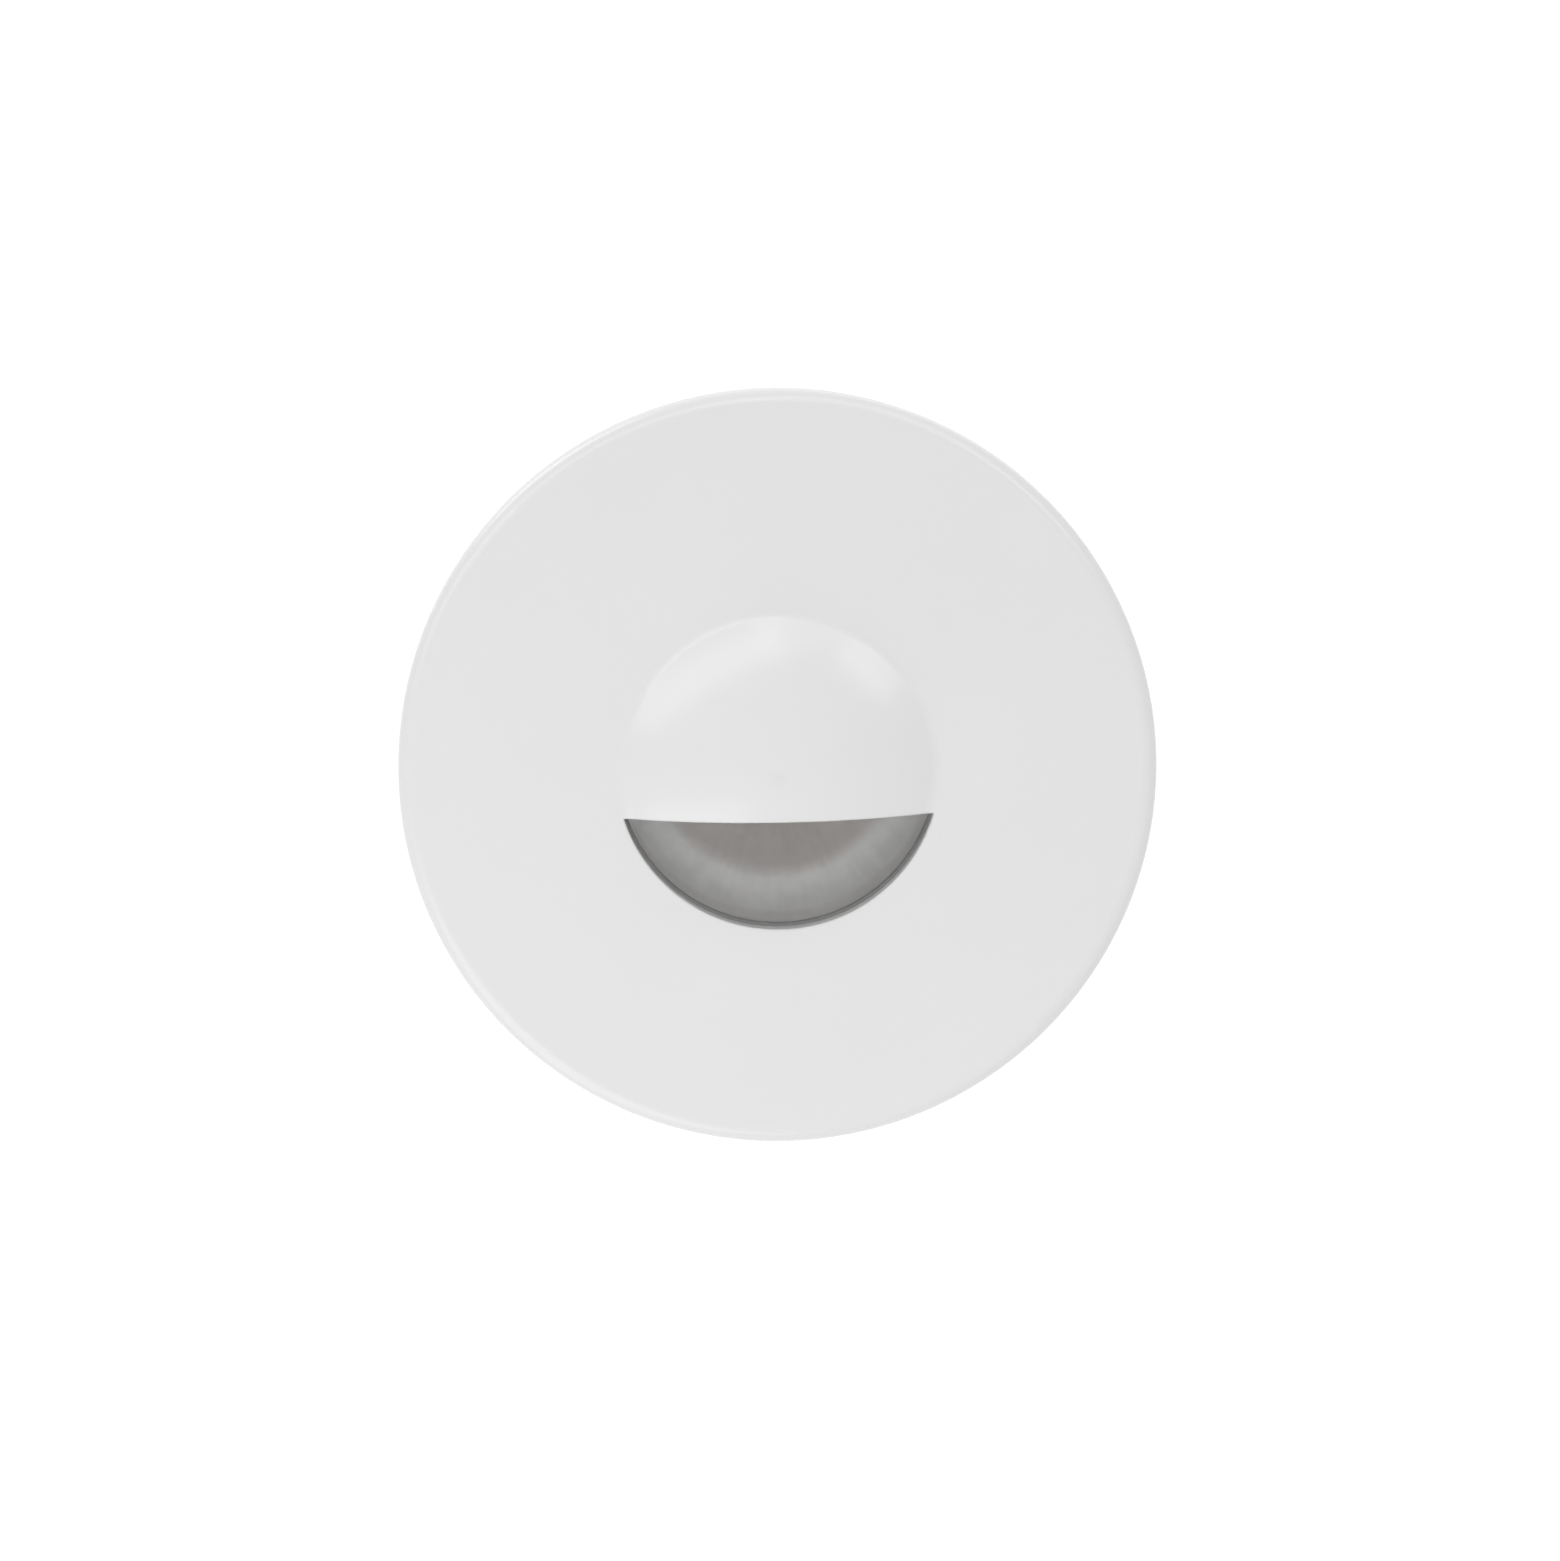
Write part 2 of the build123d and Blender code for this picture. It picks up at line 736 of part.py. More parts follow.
with BuildPart() as terminal_block:
    with BuildSketch(station(driver_back)):
        with Locations((0, terminal_z)):
            Rectangle(terminal_length, terminal_width)
    extrude(amount=-terminal_height)
    entry_plane = Plane.XY.offset(terminal_z + terminal_width / 2)
    with BuildSketch(entry_plane):
        with Locations(*[(x, driver_back + terminal_height / 2) for x in terminal_xs]):
            Rectangle(terminal_entry, terminal_entry)
    extrude(amount=-terminal_entry_depth, mode=Mode.SUBTRACT)
    with BuildSketch(station(driver_back + terminal_height)):
        with Locations(*[(x, terminal_z) for x in terminal_xs]):
            Circle(terminal_screw_radius + seat_fit)
    extrude(amount=terminal_screw_sink + terminal_screw_length, mode=Mode.SUBTRACT)

with BuildPart() as terminal_screws:
    terminal_screw_top = driver_back + terminal_height - terminal_screw_sink
    with BuildSketch(station(terminal_screw_top)):
        with Locations(*[(x, terminal_z) for x in terminal_xs]):
            Circle(terminal_screw_radius)
    extrude(amount=terminal_screw_length)

# Moulded rear cover: a plug that enters the can, a flange with three ears and a boss for the gland
with BuildPart() as rear_cover:
    with BuildSketch(station(can_back)):
        Circle(cover_radius)
        with PolarLocations(lug_circle, screw_count, start_angle=cover_screw_angle):
            Circle(lug_radius)
    extrude(amount=-(cover_back - can_back))
    with BuildSketch(station(can_back)):
        Circle(can_radius + seat_fit)
    extrude(amount=-cover_seal_thickness, mode=Mode.SUBTRACT)
    with BuildSketch(station(can_back + cover_seal_thickness)):
        Circle(rear_bore - seat_fit)
        Circle(rear_bore - seat_fit - cover_plug_wall, mode=Mode.SUBTRACT)
    extrude(amount=cover_plug_depth + cover_seal_thickness)
    boss_outer = gland_thread + cover_boss_wall
    with BuildSketch(station(cover_back)):
        Circle(boss_outer)
    extrude(amount=-cover_boss_height)
    for i in range(cover_rib_count):
        with BuildSketch(half_plane(360 * i / cover_rib_count)):
            with BuildLine():
                Polyline(
                    (gland_thread, cover_back),
                    (cover_radius - cover_rim, cover_back),
                    (boss_outer, gland_seat),
                    (gland_thread, gland_seat),
                    close=True,
                )
            make_face()
        extrude(amount=cover_rib_thickness / 2, both=True)
    with BuildSketch(station(gland_seat)):
        Circle(gland_thread)
    extrude(amount=gland_seat - can_back, mode=Mode.SUBTRACT)
    with BuildSketch(station(cover_back)):
        with PolarLocations(lug_circle, screw_count, start_angle=cover_screw_angle):
            Circle(cover_screw_hole)
    extrude(amount=cover_back - can_back, mode=Mode.SUBTRACT)

with BuildPart() as cover_seal:
    add(ring(rear_bore, can_radius, can_back, cover_seal_thickness))

with BuildPart() as cover_screws:
    add(
        socket_screws(
            lug_angles,
            lug_circle,
            cover_back,
            head=(cover_screw_head, cover_screw_head_height),
            shank=cover_screw_shank,
            reach=cover_back - can_back + cover_screw_bite,
            forward=1,
            socket=(screw_socket, screw_socket_depth),
        )
    )

# Cable gland: body with its hexagon and stem, sealing bush and domed nut, with an open bore
hex_circle = gland_hex / math.sqrt(3)  # across the corners, half
stem_front = gland_seat + gland_washer_thickness + gland_hex_height
nut_front = stem_front + gland_nut_gap
nut_back = nut_front + gland_nut_height
seal_front = nut_back - gland_nut_wall - gland_seal_length
seal_outer = gland_bore - gland_fit

with BuildPart() as gland_washer:
    add(ring(gland_thread + gland_fit, gland_thread + cover_boss_wall, gland_seat, gland_washer_thickness))

with BuildPart() as gland_body:
    add(ring(gland_bore, gland_thread, can_back, stem_front - can_back))
    with BuildSketch(station(gland_seat + gland_washer_thickness)):
        RegularPolygon(hex_circle, 6)
        Circle(gland_bore, mode=Mode.SUBTRACT)
    extrude(amount=-gland_hex_height)
    add(ring(gland_bore, gland_stem, stem_front, nut_back - gland_nut_wall - gland_fit - stem_front))

with BuildPart() as gland_seal:
    add(ring(gland_seal_bore, seal_outer, seal_front, gland_seal_length))

with BuildPart() as gland_nut:
    with BuildSketch(station(nut_front)):
        RegularPolygon(hex_circle, 6)
    extrude(amount=-gland_nut_height)
    with BuildSketch(Plane.XY):
        with BuildLine():
            dome_start = (hex_circle, nut_back - gland_nut_height / 2)
            dome_end = (gland_thread - gland_nut_wall, nut_back)
            TangentArc(dome_start, dome_end, tangent=(0, 1))
            Polyline(dome_end, (0, nut_back), (0, nut_front), (hex_circle, nut_front), dome_start)
        make_face()
    revolve(axis=Axis.Y, mode=Mode.INTERSECT)
    with BuildSketch(station(nut_front)):
        Circle(gland_stem + gland_fit)
    extrude(amount=-(gland_nut_height - gland_nut_wall), mode=Mode.SUBTRACT)
    with BuildSketch(station(nut_back)):
        Circle(gland_seal_bore + gland_nut_lip)
    extrude(amount=gland_nut_wall, mode=Mode.SUBTRACT)

# Spring clip of the right side. The pin stands along Z, the arm is a bent strip with two cheeks on
# the pin, and the coil sits between the cheeks, behind the arm's web.
coil_inner = pin_radius + clip_clear
coil_radius = coil_inner + spring_wire / 2
coil_outer = coil_inner + spring_wire
base_face = land_x + bracket_metal
pivot_x = base_face + clip_clear + coil_outer
arm_turn = math.radians(clip_rest_angle)
web_inner = coil_outer + clip_clear
web_outer = web_inner + arm_metal
arm_plane = Plane(
    origin=(pivot_x, pivot_y, 0),
    x_dir=(math.cos(arm_turn), -math.sin(arm_turn), 0),
    z_dir=(0, 0, -1),
)
arm_heel = (web_outer * math.sin(arm_turn) - (pivot_x - base_face) + arm_heel_clear) / math.cos(arm_turn)

with BuildPart() as clip_bracket_right:
    base_front = bracket_screw_ys[-1] - bracket_screw_edge
    base_back = pivot_y + bracket_tail
    with BuildSketch(Plane.XY):
        with Locations(((land_x + base_face) / 2, (base_front + base_back) / 2)):
            Rectangle(bracket_metal, base_back - base_front)
    extrude(amount=bracket_half, both=True)
    with BuildSketch(Plane.XY):
        with Locations((pivot_x, pivot_y)):
            Circle(bracket_ear_radius)
        with Locations(((land_x + base_face) / 2, pivot_y)):
            Rectangle(bracket_metal, 2 * bracket_ear_foot)
        make_hull()
    extrude(amount=bracket_half, both=True)
    with BuildSketch(Plane.XY):
        with Locations((base_face, pivot_y)):
            Rectangle(
                2 * (pivot_x - base_face + bracket_ear_radius),
                2 * (base_back - base_front),
                align=(Align.MIN, Align.CENTER),
            )
    extrude(amount=bracket_half - bracket_metal, both=True, mode=Mode.SUBTRACT)
    with BuildSketch(Plane.XY):
        with Locations((pivot_x, pivot_y)):
            Circle(pin_radius + pin_play)
    extrude(amount=bracket_half, both=True, mode=Mode.SUBTRACT)
    with BuildSketch(Plane.YZ.offset(base_face)):
        with Locations(*[(y, 0) for y in bracket_screw_ys]):
            Circle(bracket_screw_shank + pocket_fit)
    extrude(amount=-bracket_metal, mode=Mode.SUBTRACT)

with BuildPart() as clip_pin_right:
    with BuildSketch(Plane.XY):
        with Locations((pivot_x, pivot_y)):
            Circle(pin_radius)
    extrude(amount=bracket_half + pin_head_height, both=True)
    for side in (1, -1):
        with BuildSketch(Plane.XY.offset(side * bracket_half)):
            with Locations((pivot_x, pivot_y)):
                Circle(pin_head_radius)
        extrude(amount=side * pin_head_height)

with BuildPart() as clip_arm_right:
    with BuildSketch(arm_plane):
        Circle(arm_cheek_radius)
        with Locations(((arm_heel + arm_knee) / 2, (web_inner + web_outer) / 2)):
            Rectangle(arm_knee - arm_heel, arm_metal)
        make_hull()
    extrude(amount=arm_width / 2, both=True)
    with BuildSketch(arm_plane):
        with Locations((0, web_inner)):
            Rectangle(2 * arm_reach, 2 * arm_reach, align=(Align.CENTER, Align.MAX))
    extrude(amount=arm_width / 2 - arm_metal, both=True, mode=Mode.SUBTRACT)
    with BuildSketch(arm_plane):
        with BuildLine():
            FilletPolyline(
                (arm_heel, web_inner),
                (arm_knee, web_inner),
                (arm_knee + arm_joggle_run, arm_foot_level),
                (arm_reach, arm_foot_level),
                (arm_reach + arm_tip_run, arm_foot_level - arm_tip_drop),
                radius=arm_bend,
            )
            offset(amount=arm_metal, side=Side.LEFT)
        make_face()
    extrude(amount=arm_width / 2, both=True)
    with BuildSketch(arm_plane):
        Circle(pin_radius + pin_play)
    extrude(amount=arm_width / 2, both=True, mode=Mode.SUBTRACT)

# Torsion spring on the pin: a fixed leg on the bracket's base, close to even turns, and a leg under
# the arm's web. Its line is a biarc for each quarter turn.
coil_start = math.pi
coil_sweep = 2 * math.pi * spring_turns + math.pi / 2 - arm_turn
coil_steps = 4 * spring_turns
coil_rise = spring_pitch / (2 * math.pi)
coil_height = coil_rise * coil_sweep


def coil_point(angle):
    """Point of the coil's middle line, angle radians after its start."""
    return Vector(
        pivot_x + coil_radius * math.cos(coil_start + angle),
        pivot_y + coil_radius * math.sin(coil_start + angle),
        coil_rise * angle - coil_height / 2,
    )


def coil_direction(angle):
    """Unit direction of the coil's middle line there."""
    return Vector(
        -coil_radius * math.sin(coil_start + angle),
        coil_radius * math.cos(coil_start + angle),
        coil_rise,
    ).normalized()


with BuildPart() as clip_spring_right:
    with BuildLine() as spring_line:
        Line(coil_point(0) - coil_direction(0) * spring_leg, coil_point(0))
        for i in range(coil_steps):
            angles = (coil_sweep * i / coil_steps, coil_sweep * (i + 1) / coil_steps)
            start, end = (coil_point(angle) for angle in angles)
            leave, arrive = (coil_direction(angle) for angle in angles)
            chord = end - start
            along = chord.dot(leave + arrive)
            bend = 2 * (1 - leave.dot(arrive))
            tangent_length = (math.sqrt(along**2 + bend * chord.dot(chord)) - along) / bend
            middle = (start + end + (leave - arrive) * tangent_length) / 2
            first = TangentArc(start, middle, tangent=leave)
            TangentArc(middle, end, tangent=first % 1)
        Line(coil_point(coil_sweep), coil_point(coil_sweep) + coil_direction(coil_sweep) * spring_leg)
    with BuildSketch(Plane(origin=spring_line.line @ 0, z_dir=spring_line.line % 0)):
        Circle(spring_wire / 2)
    sweep(path=spring_line.line)

spring_path = spring_line.wire()
spring_step = spring_path.length / spring_samples
spring_points = [spring_path @ (i / spring_samples) for i in range(spring_samples + 1)]
spring_skip = math.ceil(math.pi * coil_radius / spring_step)
spring_gap = min(
    (spring_points[i] - spring_points[j]).length - spring_wire
    for i in range(spring_samples)
    for j in range(i + spring_skip, spring_samples + 1)
)
print(f"clip spring: least gap to itself {spring_gap:.2f} mm, wire length {spring_path.length:.1f} mm")

# Screws that hold the brackets to the can's flats, both sides
with BuildPart() as bracket_screws:
    for side in (1, -1):
        with BuildSketch(Plane.YZ.offset(side * base_face)):
            with Locations(*[(y, 0) for y in bracket_screw_ys]):
                Circle(bracket_screw_head)
        extrude(amount=side * bracket_screw_head_height)
        with BuildSketch(Plane.YZ.offset(side * base_face)):
            with Locations(*[(y, 0) for y in bracket_screw_ys]):
                Circle(bracket_screw_shank)
        extrude(amount=-side * (bracket_metal + bracket_screw_bite))
        with BuildSketch(Plane.YZ.offset(side * (base_face + bracket_screw_head_height))):
            with Locations(*[(y, 0) for y in bracket_screw_ys]):
                RegularPolygon(small_socket, 6)
        extrude(amount=-side * small_socket_depth, mode=Mode.SUBTRACT)

# The left side's clip mirrors the right one
with BuildPart() as clip_bracket_left:
    mirror(clip_bracket_right.part, about=Plane.YZ)

with BuildPart() as clip_pin_left:
    mirror(clip_pin_right.part, about=Plane.YZ)

with BuildPart() as clip_arm_left:
    mirror(clip_arm_right.part, about=Plane.YZ)

with BuildPart() as clip_spring_left:
    mirror(clip_spring_right.part, about=Plane.YZ)

pieces = {
    "front_plate": front_plate,
    "wall_gasket": wall_gasket,
    "window_seal": window_seal,
    "glass_lens": glass_lens,
    "lens_gasket": lens_gasket,
    "reflector": reflector,
    "housing": housing,
    "plate_screws": plate_screws,
    "led_emitter": led_emitter,
    "led_phosphor": led_phosphor,
    "led_board": led_board,
    "thermal_pad": thermal_pad,
    "led_board_screws": led_board_screws,
    "lead_grommet": lead_grommet,
    "led_lead_positive": led_lead_positive,
    "led_lead_negative": led_lead_negative,
    "driver_tray": driver_tray,
    "driver_board": driver_board,
    "transformer_core": transformer_core,
    "transformer_winding": transformer_winding,
    "input_capacitor": input_capacitor,
    "output_capacitor": output_capacitor,
    "bridge_rectifier": bridge_rectifier,
    "driver_chip": driver_chip,
    "fuse_resistor": fuse_resistor,
    "terminal_block": terminal_block,
    "terminal_screws": terminal_screws,
    "rear_cover": rear_cover,
    "cover_seal": cover_seal,
    "cover_screws": cover_screws,
    "gland_washer": gland_washer,
    "gland_body": gland_body,
    "gland_seal": gland_seal,
    "gland_nut": gland_nut,
    "clip_bracket_left": clip_bracket_left,
    "clip_bracket_right": clip_bracket_right,
    "bracket_screws": bracket_screws,
    "clip_pin_left": clip_pin_left,
    "clip_pin_right": clip_pin_right,
    "clip_arm_left": clip_arm_left,
    "clip_arm_right": clip_arm_right,
    "clip_spring_left": clip_spring_left,
    "clip_spring_right": clip_spring_right,
}

os.makedirs("parts", exist_ok=True)
for name, piece in pieces.items():
    piece.part.label = name
    export_step(piece.part, f"parts/{name}.step")
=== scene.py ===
import math
import bmesh
import bpy
from mathutils import Matrix, Quaternion, Vector


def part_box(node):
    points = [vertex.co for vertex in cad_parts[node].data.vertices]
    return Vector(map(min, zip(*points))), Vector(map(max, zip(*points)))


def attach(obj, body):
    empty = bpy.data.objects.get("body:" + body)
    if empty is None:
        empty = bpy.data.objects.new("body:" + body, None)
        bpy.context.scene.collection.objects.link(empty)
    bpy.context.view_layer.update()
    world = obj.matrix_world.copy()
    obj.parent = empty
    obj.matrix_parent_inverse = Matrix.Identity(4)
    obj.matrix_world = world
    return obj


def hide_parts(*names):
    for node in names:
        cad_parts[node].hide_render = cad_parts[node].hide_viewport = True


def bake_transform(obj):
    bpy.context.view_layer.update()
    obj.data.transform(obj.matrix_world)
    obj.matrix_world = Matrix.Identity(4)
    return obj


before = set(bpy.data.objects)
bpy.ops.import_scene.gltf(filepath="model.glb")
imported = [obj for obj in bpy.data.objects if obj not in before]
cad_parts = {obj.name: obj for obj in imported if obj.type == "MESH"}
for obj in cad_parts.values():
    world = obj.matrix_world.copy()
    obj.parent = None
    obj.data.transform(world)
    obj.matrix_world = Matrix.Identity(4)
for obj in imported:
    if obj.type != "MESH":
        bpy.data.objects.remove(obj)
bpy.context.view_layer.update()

# Housing: one die-cast aluminium can with its collar, cooling fins, LED deck and screw lugs.
# It is left as cast, with a fine grain, faint flow marks and slightly rounded edges.


class Tone:
    """A socket of a finish. Sums and products of tones and numbers add the Math nodes they need."""

    edge_samples = 6

    def __init__(self, socket):
        self.socket = socket

    def node(self, kind, settings, sockets, output=0):
        """Adds a node to the same finish, settings first, and returns the tone of one output."""
        tree = self.socket.id_data
        made = tree.nodes.new("ShaderNode" + kind)
        for name, value in settings.items():
            setattr(made, name, value)
        for name, value in sockets.items():
            if isinstance(value, Tone):
                tree.links.new(value.socket, made.inputs[name])
            else:
                made.inputs[name].default_value = value
        return Tone(made.outputs[output])

    def worked(self, operation, *values):
        """Result of one Math operation on tones and numbers."""
        return self.node("Math", {"operation": operation}, dict(enumerate(values)))

    def __add__(self, other):
        return self.worked("ADD", self, other)

    def __radd__(self, other):
        return self.worked("ADD", other, self)

    def __sub__(self, other):
        return self.worked("SUBTRACT", self, other)

    def __rsub__(self, other):
        return self.worked("SUBTRACT", other, self)

    def __mul__(self, other):
        return self.worked("MULTIPLY", self, other)

    def __rmul__(self, other):
        return self.worked("MULTIPLY", other, self)

    def __pow__(self, other):
        return self.worked("POWER", self, other)

    def grain(self, size, detail):
        """Cloudy noise over these coordinates, its lumps about size metres across."""
        return self.node("TexNoise", {}, {"Vector": self, "Scale": 1.0 / size, "Detail": detail})

    def step(self, low, high):
        """Rises smoothly from 0 to 1 as this tone goes from low to high."""
        limits = {"Value": self, "From Min": low, "From Max": high}
        return self.node("MapRange", {"interpolation_type": "SMOOTHSTEP"}, limits)

    def between(self, first, second):
        """Colour that goes from the first to the second as this tone goes from 0 to 1."""
        return self.node("Mix", {"data_type": "RGBA"}, {0: self, 6: first, 7: second}, 2)

    def leaning(self, first, second):
        """Direction that goes from the first to the second as this tone goes from 0 to 1."""
        return self.node("Mix", {"data_type": "VECTOR"}, {0: self, 4: first, 5: second}, 1)

    def along(self, axis):
        """One of the coordinates X, Y and Z of a place."""
        return self.node("SeparateXYZ", {}, {"Vector": self}, axis)

    def off_axis(self):
        """Distance of a place from the light's axis, which runs along Y."""
        across = self.along("X")
        upward = self.along("Z")
        return (across * across + upward * upward) ** 0.5

    def stretched(self, scale):
        """The same coordinates, each multiplied by its own number."""
        return self.node("Mapping", {}, {"Vector": self, "Scale": scale})

    def rounded(self, edge):
        """Normal of the surface, with its edges rounded to this radius in metres."""
        return self.node("Bevel", {"samples": self.edge_samples}, {"Radius": edge})

    def raised(self, depth, normal):
        """Normal of a surface with this tone as its relief, so many metres deep."""
        return self.node("Bump", {}, {"Height": self, "Distance": depth, "Normal": normal})

    def relief(self, depth, edge):
        """Normal of a surface with this tone as its relief and its edges rounded, in metres."""
        return self.raised(depth, self.rounded(edge))


def grey(level):
    return (level, level, level, 1.0)


def new_finish(name):
    """Starts a finish. Returns it with the tone of a point's place on the light, in metres."""
    finish = bpy.data.materials.new(name)
    finish.use_nodes = True
    finish.node_tree.nodes.clear()
    place = finish.node_tree.nodes.new("ShaderNodeTexCoord").outputs["Object"]
    return finish, Tone(place)


def close(finish, shader):
    """Puts a shader on a finish's output."""
    output = finish.node_tree.nodes.new("ShaderNodeOutputMaterial")
    finish.node_tree.links.new(shader.socket, output.inputs["Surface"])


def coat(finish, place, sockets):
    """Closes a finish with one Principled shader that has these values."""
    close(finish, place.node("BsdfPrincipled", {}, sockets))


def dress(finish, *names):
    """Gives CAD nodes a finish."""
    for name in names:
        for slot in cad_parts[name].material_slots:
            slot.material = finish


finish, place = new_finish("cast_aluminium")
skin = place.grain(0.0006, detail=4.0)
flow = place.stretched((1.0, 0.35, 1.0)).grain(0.006, detail=3.0)
coat(finish, place, {
    "Base Color": (skin * 0.5 + flow * 0.5).between(grey(0.44), (0.60, 0.61, 0.62, 1.0)),
    "Metallic": 1.0,
    "Roughness": 0.42 + 0.2 * skin + 0.1 * flow,
    "Normal": skin.relief(depth=0.00004, edge=0.0003),
})
dress(finish, "housing")

# LED: a ceramic carrier with its round yellow phosphor, soldered to a white metal-core board that
# two screws press on to a heat-conducting pad on the housing's deck.
finish, place = new_finish("led_ceramic")
speck = place.grain(0.00015, detail=3.0)
coat(finish, place, {
    "Base Color": speck.between((0.70, 0.68, 0.62, 1.0), (0.80, 0.79, 0.74, 1.0)),
    "Roughness": 0.45 + 0.15 * speck,
    "Normal": speck.relief(depth=0.000006, edge=0.0001),
})
dress(finish, "led_emitter")

finish, place = new_finish("led_phosphor")
speck = place.grain(0.0002, detail=4.0)
coat(finish, place, {
    "Base Color": speck.between((0.78, 0.47, 0.03, 1.0), (0.90, 0.62, 0.07, 1.0)),
    "Roughness": 0.25 + 0.15 * speck,
    "Coat Weight": 0.4,
    "Normal": speck.relief(depth=0.00001, edge=0.0001),
})
dress(finish, "led_phosphor")

solder_pad_reach = 0.0008
solder_pad_drop = 0.0103
solder_pad_radius = 0.0006
solder_pad_blur = 0.0001
finish, place = new_finish("white_board")
mask_grain = place.grain(0.0003, detail=3.0)
across = place.along("X")
pad_x = across.worked("ABSOLUTE", across) - solder_pad_reach
pad_z = place.along("Z") + solder_pad_drop
pad_squares = (solder_pad_radius ** 2, (solder_pad_radius + solder_pad_blur) ** 2)
pad = 1.0 - (pad_x * pad_x + pad_z * pad_z).step(*pad_squares)
coat(finish, place, {
    "Base Color": pad.between(mask_grain.between(grey(0.74), grey(0.80)), (0.70, 0.66, 0.60, 1.0)),
    "Metallic": pad,
    "Roughness": 0.38 + 0.1 * mask_grain,
    "Normal": mask_grain.relief(depth=0.00001, edge=0.0001),
})
dress(finish, "led_board")

finish, place = new_finish("thermal_pad")
filler = place.grain(0.0004, detail=4.0)
coat(finish, place, {
    "Base Color": filler.between((0.30, 0.37, 0.44, 1.0), (0.38, 0.45, 0.52, 1.0)),
    "Roughness": 0.7 + 0.2 * filler,
    "Normal": filler.relief(depth=0.00003, edge=0.0001),
})
dress(finish, "thermal_pad")

# Screws and pins: cap screws with a hexagon socket, cold-formed from steel and bright zinc plated. They
# hold the LED board, the face plate, the rear cover and the clip brackets. The clips' pins are alike.
finish, place = new_finish("plated_steel")
bloom = place.grain(0.0015, detail=3.0)
scuff = place.grain(0.00012, detail=2.0)
coat(finish, place, {
    "Base Color": bloom.between((0.60, 0.61, 0.63, 1.0), (0.70, 0.69, 0.64, 1.0)),
    "Metallic": 1.0,
    "Roughness": 0.22 + 0.14 * scuff + 0.08 * bloom,
    "Normal": scuff.relief(depth=0.000006, edge=0.00015),
})
dress(finish, "led_board_screws", "plate_screws", "cover_screws", "bracket_screws", "terminal_screws")
dress(finish, "clip_pin_left", "clip_pin_right")

# Leads: two stranded wires in red and black insulation, which pass from the driver to the LED board
# through a rubber grommet in the deck. The cover's seal and the gland's rings are of the same rubber.
insulations = (
    ("red_insulation", "led_lead_positive", (0.36, 0.012, 0.010, 1.0), (0.46, 0.02, 0.016, 1.0)),
    ("black_insulation", "led_lead_negative", grey(0.012), grey(0.020)),
)
for insulation, lead, dark, light in insulations:
    finish, place = new_finish(insulation)
    haze = place.grain(0.0008, detail=3.0)
    coat(finish, place, {
        "Base Color": haze.between(dark, light),
        "Roughness": 0.34 + 0.12 * haze,
        "Normal": haze.relief(depth=0.00001, edge=0.00005),
    })
    dress(finish, lead)

finish, place = new_finish("black_rubber")
bloom = place.grain(0.002, detail=4.0)
fine = place.grain(0.0002, detail=3.0)
coat(finish, place, {
    "Base Color": bloom.between(grey(0.011), grey(0.024)),
    "Roughness": 0.6 + 0.2 * fine,
    "Normal": fine.relief(depth=0.000012, edge=0.00015),
})
dress(finish, "lead_grommet", "cover_seal", "gland_washer", "gland_seal")

# Driver: a round circuit board in a nylon tray, with the transformer, capacitors, rectifier, control
# chip, fusible resistor and terminal block soldered to its back.
finish, place = new_finish("natural_nylon")
cloud = place.grain(0.004, detail=3.0)
fine = place.grain(0.0003, detail=3.0)
coat(finish, place, {
    "Base Color": cloud.between((0.60, 0.56, 0.46, 1.0), (0.68, 0.65, 0.55, 1.0)),
    "Roughness": 0.42 + 0.12 * cloud,
    "Subsurface Weight": 0.15,
    "Subsurface Scale": 0.001,
    "Normal": fine.relief(depth=0.00001, edge=0.0002),
})
dress(finish, "driver_tray")

finish, place = new_finish("green_board")
weave = place.grain(0.0004, detail=2.0)
laid_flat = place.node("Mapping", {}, {"Vector": place, "Rotation": (math.pi / 2, 0.0, 0.0)})
tracks = place.node("TexBrick", {"offset": 0.35}, {
    "Vector": laid_flat,
    "Scale": 220.0,
    "Mortar Size": 0.06,
    "Mortar Smooth": 0.2,
    "Brick Width": 1.3,
    "Row Height": 0.45,
}, 1)
joints = place.node("TexVoronoi", {}, {"Vector": place, "Scale": 330.0, "Randomness": 0.55})
solder = 1.0 - joints.step(0.20, 0.24)
resist = tracks.between((0.010, 0.085, 0.030, 1.0), (0.022, 0.150, 0.050, 1.0))
coat(finish, place, {
    "Base Color": solder.between(resist, (0.62, 0.62, 0.60, 1.0)),
    "Metallic": solder,
    "Roughness": 0.28 + 0.1 * weave,
    "Normal": (tracks * 0.6 + solder + weave * 0.1).relief(depth=0.00003, edge=0.00015),
})
dress(finish, "driver_board")

finish, place = new_finish("ferrite")
sinter = place.grain(0.00025, detail=4.0)
coat(finish, place, {
    "Base Color": sinter.between(grey(0.022), grey(0.045)),
    "Roughness": 0.5 + 0.2 * sinter,
    "Normal": sinter.relief(depth=0.00002, edge=0.0002),
})
dress(finish, "transformer_core")

finish, place = new_finish("yellow_tape")
laps = place.stretched((0.2, 1.0, 0.2)).grain(0.0006, detail=1.0)
coat(finish, place, {
    "Base Color": laps.between((0.62, 0.40, 0.02, 1.0), (0.76, 0.54, 0.05, 1.0)),
    "Roughness": 0.3 + 0.15 * laps,
    "Normal": laps.relief(depth=0.00006, edge=0.0002),
})
dress(finish, "transformer_winding")

